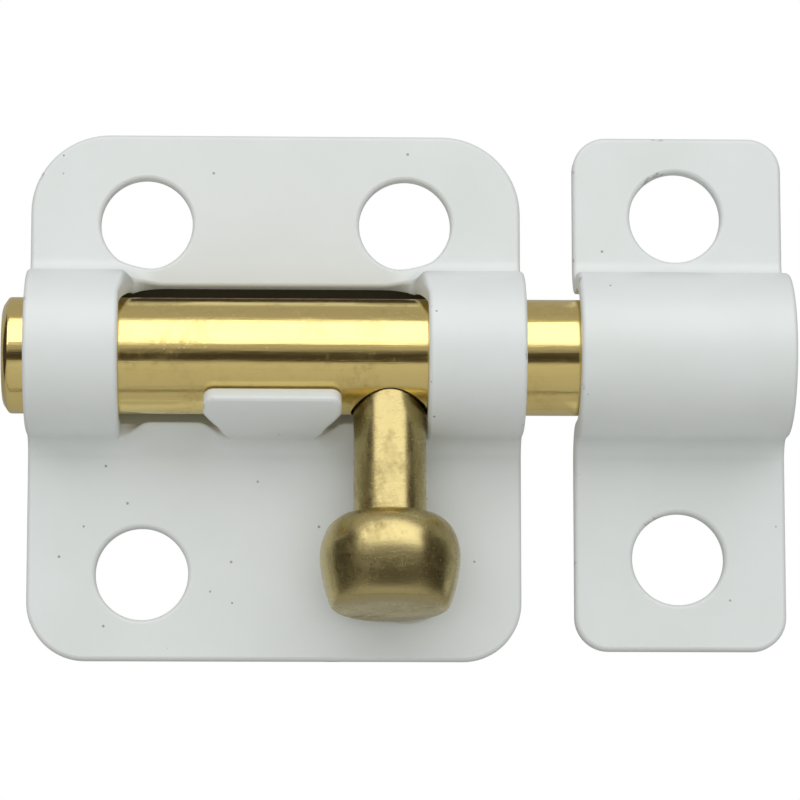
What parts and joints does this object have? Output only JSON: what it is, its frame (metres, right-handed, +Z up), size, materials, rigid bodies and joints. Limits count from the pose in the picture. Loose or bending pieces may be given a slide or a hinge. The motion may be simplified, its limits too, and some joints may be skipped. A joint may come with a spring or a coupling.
{
  "type": "surface barrel bolt latch",
  "caption": "Small surface barrel bolt: painted bracket with loops and a stop tab, round brass bolt with a turned knob, and a separate painted keeper.",
  "frame": {"origin": "on the bracket's flat back face, midway between its two upper screw holes", "axes": "+X along the bolt toward the keeper, +Y into the door or frame that the backs lie on, +Z up, with the knob hanging down"},
  "size_m": [0.0403, 0.0081, 0.0274],
  "materials": {
    "bracket_paint": "smooth gloss white paint",
    "keeper_paint": "smooth gloss white paint",
    "bolt_brass": "polished, with fine scratches along it",
    "knob_brass": "polished, slightly worn"
  },
  "bodies": {
    "bracket": {"bracket": "bracket_paint"},
    "bolt": {"bolt": "bolt_brass", "knob": "knob_brass"},
    "keeper": {"keeper": "keeper_paint"}
  },
  "joints": [
    {"name": "bolt_turn", "type": "hinge", "parent": "bracket", "child": "bolt", "pos_m": [0, -0.00305, -0.0073], "axis": [-1, 0, 0], "range_deg": [0, 120]},
    {"name": "keeper_away", "type": "slide", "parent": "bracket", "child": "keeper", "axis": [1, 0, 0], "range_m": [0, 0.012]}
  ]
}
